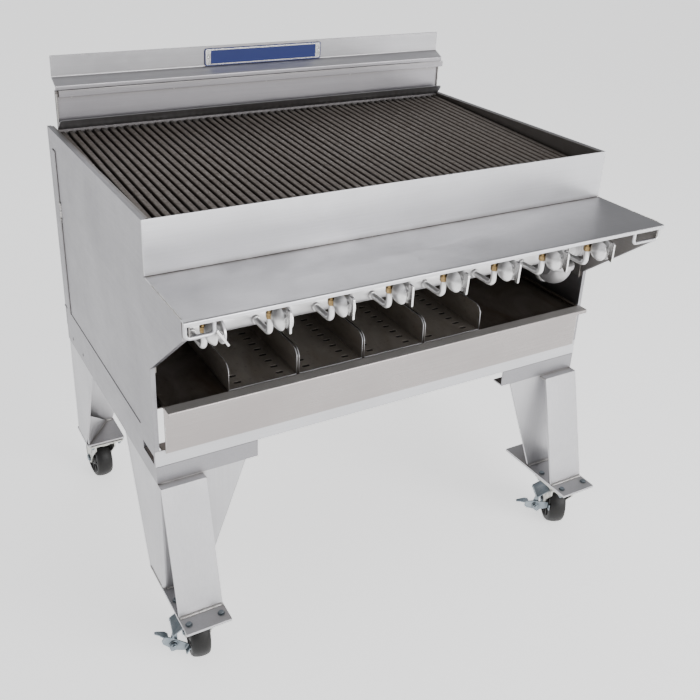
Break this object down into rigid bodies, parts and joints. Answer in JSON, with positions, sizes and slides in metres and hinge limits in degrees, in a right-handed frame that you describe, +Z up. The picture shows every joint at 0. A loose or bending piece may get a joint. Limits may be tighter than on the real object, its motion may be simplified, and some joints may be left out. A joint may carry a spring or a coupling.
{
  "type": "gas charbroiler",
  "caption": "Wide gas charbroiler with slatted grates, lever valves under a front shelf, a sliding drip pan and a welded stand on swivel casters.",
  "frame": {"origin": "on the floor under the middle of the bounding box's footprint", "axes": "+X to the right seen from the front, +Y to the rear, +Z up"},
  "size_m": [1.1722, 0.9576, 1.1841],
  "materials": {
    "satin_steel": "satin, folded and welded sheet",
    "silver_painted_steel": "silver paint, satin",
    "pan_steel": "bright rolled sheet",
    "cast_iron": "dark seasoned iron",
    "burner_iron": "dark grey iron",
    "zinc_plate": "zinc plated",
    "valve_metal": "bright plated, with brass fittings",
    "black_tyre": "matt black moulded wheel",
    "badge_blue": "plain enamel plate"
  },
  "bodies": {
    "stand_and_firebox": {"side_panel_left": "satin_steel", "side_base_rail_left": "satin_steel", "leg_front_left": "satin_steel", "leg_rear_left": "satin_steel", "caster_mount_front_left": "zinc_plate", "caster_mount_rear_left": "zinc_plate", "side_panel_right": "satin_steel", "side_base_rail_right": "satin_steel", "leg_front_right": "satin_steel", "leg_rear_right": "satin_steel", "caster_mount_front_right": "zinc_plate", "caster_mount_rear_right": "zinc_plate", "front_panel": "satin_steel", "rear_panel": "satin_steel", "front_shelf": "satin_steel", "backsplash": "satin_steel", "splash_deflector": "satin_steel", "base_rail_front": "satin_steel", "base_rail_rear": "satin_steel", "nameplate": "badge_blue", "gas_manifold": "silver_painted_steel", "gas_inlet_elbow": "silver_painted_steel", "gas_valve_1": "valve_metal", "gas_valve_2": "valve_metal", "gas_valve_3": "valve_metal", "gas_valve_4": "valve_metal", "gas_valve_5": "valve_metal", "gas_valve_6": "valve_metal", "gas_valve_7": "valve_metal", "gas_valve_8": "valve_metal", "burner_rack": "burner_iron", "radiant_rack": "burner_iron", "grate_section_1": "cast_iron", "grate_section_2": "cast_iron", "grate_section_3": "cast_iron", "grate_section_4": "cast_iron"},
    "fork_front_left": {"caster_fork_front_left": "zinc_plate"},
    "wheel_body_front_left": {"wheel_front_left": "black_tyre"},
    "brake_front_left": {"brake_lever_front_left": "zinc_plate"},
    "fork_front_right": {"caster_fork_front_right": "zinc_plate"},
    "wheel_body_front_right": {"wheel_front_right": "black_tyre"},
    "brake_front_right": {"brake_lever_front_right": "zinc_plate"},
    "fork_rear_left": {"caster_fork_rear_left": "zinc_plate"},
    "wheel_body_rear_left": {"wheel_rear_left": "black_tyre"},
    "fork_rear_right": {"caster_fork_rear_right": "zinc_plate"},
    "wheel_body_rear_right": {"wheel_rear_right": "black_tyre"},
    "lever_1": {"valve_lever_1": "valve_metal"},
    "lever_2": {"valve_lever_2": "valve_metal"},
    "lever_3": {"valve_lever_3": "valve_metal"},
    "lever_4": {"valve_lever_4": "valve_metal"},
    "lever_5": {"valve_lever_5": "valve_metal"},
    "lever_6": {"valve_lever_6": "valve_metal"},
    "lever_7": {"valve_lever_7": "valve_metal"},
    "lever_8": {"valve_lever_8": "valve_metal"},
    "pan_and_trays": {"drip_pan": "pan_steel", "slotted_tray_1": "pan_steel", "slotted_tray_2": "pan_steel", "slotted_tray_3": "pan_steel", "slotted_tray_4": "pan_steel"}
  },
  "joints": [
    {"name": "swivel_front_left", "type": "hinge", "parent": "stand_and_firebox", "child": "fork_front_left", "pos_m": [-0.49112, -0.3568, 0.15], "axis": [0, 0, 1], "continuous": true},
    {"name": "roll_front_left", "type": "hinge", "parent": "fork_front_left", "child": "wheel_body_front_left", "pos_m": [-0.48348, -0.31754, 0.06], "axis": [0.9816, -0.1908, 0], "continuous": true},
    {"name": "brake_front_left", "type": "hinge", "parent": "fork_front_left", "child": "brake_front_left", "pos_m": [-0.5479, -0.34495, 0.07], "axis": [0.1908, 0.9816, 0], "range_deg": [-32, 0]},
    {"name": "swivel_front_right", "type": "hinge", "parent": "stand_and_firebox", "child": "fork_front_right", "pos_m": [0.52289, -0.3568, 0.15], "axis": [0, 0, 1], "continuous": true},
    {"name": "roll_front_right", "type": "hinge", "parent": "fork_front_right", "child": "wheel_body_front_right", "pos_m": [0.54166, -0.32148, 0.06], "axis": [0.8829, -0.4695, 0], "continuous": true},
    {"name": "brake_front_right", "type": "hinge", "parent": "fork_front_right", "child": "brake_front_right", "pos_m": [0.47205, -0.32886, 0.07], "axis": [0.4695, 0.8829, 0], "range_deg": [0, 32]},
    {"name": "swivel_rear_left", "type": "hinge", "parent": "stand_and_firebox", "child": "fork_rear_left", "pos_m": [-0.49112, 0.3782, 0.15], "axis": [0, 0, 1], "continuous": true},
    {"name": "roll_rear_left", "type": "hinge", "parent": "fork_rear_left", "child": "wheel_body_rear_left", "pos_m": [-0.49321, 0.41814, 0.06], "axis": [0.9986, 0.0523, 0], "continuous": true},
    {"name": "swivel_rear_right", "type": "hinge", "parent": "stand_and_firebox", "child": "fork_rear_right", "pos_m": [0.52289, 0.3782, 0.15], "axis": [0, 0, 1], "continuous": true},
    {"name": "roll_rear_right", "type": "hinge", "parent": "fork_rear_right", "child": "wheel_body_rear_right", "pos_m": [0.53256, 0.41701, 0.06], "axis": [0.9703, -0.2419, 0], "continuous": true},
    {"name": "valve_turn_1", "type": "hinge", "parent": "stand_and_firebox", "child": "lever_1", "pos_m": [-0.45387, -0.4134, 0.831], "axis": [0, 1, 0], "range_deg": [-58, 32]},
    {"name": "valve_turn_2", "type": "hinge", "parent": "stand_and_firebox", "child": "lever_2", "pos_m": [-0.31937, -0.4134, 0.831], "axis": [0, 1, 0], "range_deg": [-90, 0]},
    {"name": "valve_turn_3", "type": "hinge", "parent": "stand_and_firebox", "child": "lever_3", "pos_m": [-0.18487, -0.4134, 0.831], "axis": [0, 1, 0], "range_deg": [-90, 0]},
    {"name": "valve_turn_4", "type": "hinge", "parent": "stand_and_firebox", "child": "lever_4", "pos_m": [-0.05037, -0.4134, 0.831], "axis": [0, 1, 0], "range_deg": [-90, 0]},
    {"name": "valve_turn_5", "type": "hinge", "parent": "stand_and_firebox", "child": "lever_5", "pos_m": [0.08414, -0.4134, 0.831], "axis": [0, 1, 0], "range_deg": [-86, 4]},
    {"name": "valve_turn_6", "type": "hinge", "parent": "stand_and_firebox", "child": "lever_6", "pos_m": [0.21863, -0.4134, 0.831], "axis": [0, 1, 0], "range_deg": [-87, 3]},
    {"name": "valve_turn_7", "type": "hinge", "parent": "stand_and_firebox", "child": "lever_7", "pos_m": [0.35313, -0.4134, 0.831], "axis": [0, 1, 0], "range_deg": [-90, 0]},
    {"name": "valve_turn_8", "type": "hinge", "parent": "stand_and_firebox", "child": "lever_8", "pos_m": [0.48763, -0.4134, 0.831], "axis": [0, 1, 0], "range_deg": [-90, 0]},
    {"name": "pan_slide", "type": "slide", "parent": "stand_and_firebox", "child": "pan_and_trays", "axis": [0, -1, 0], "range_m": [0, 0.45]}
  ]
}
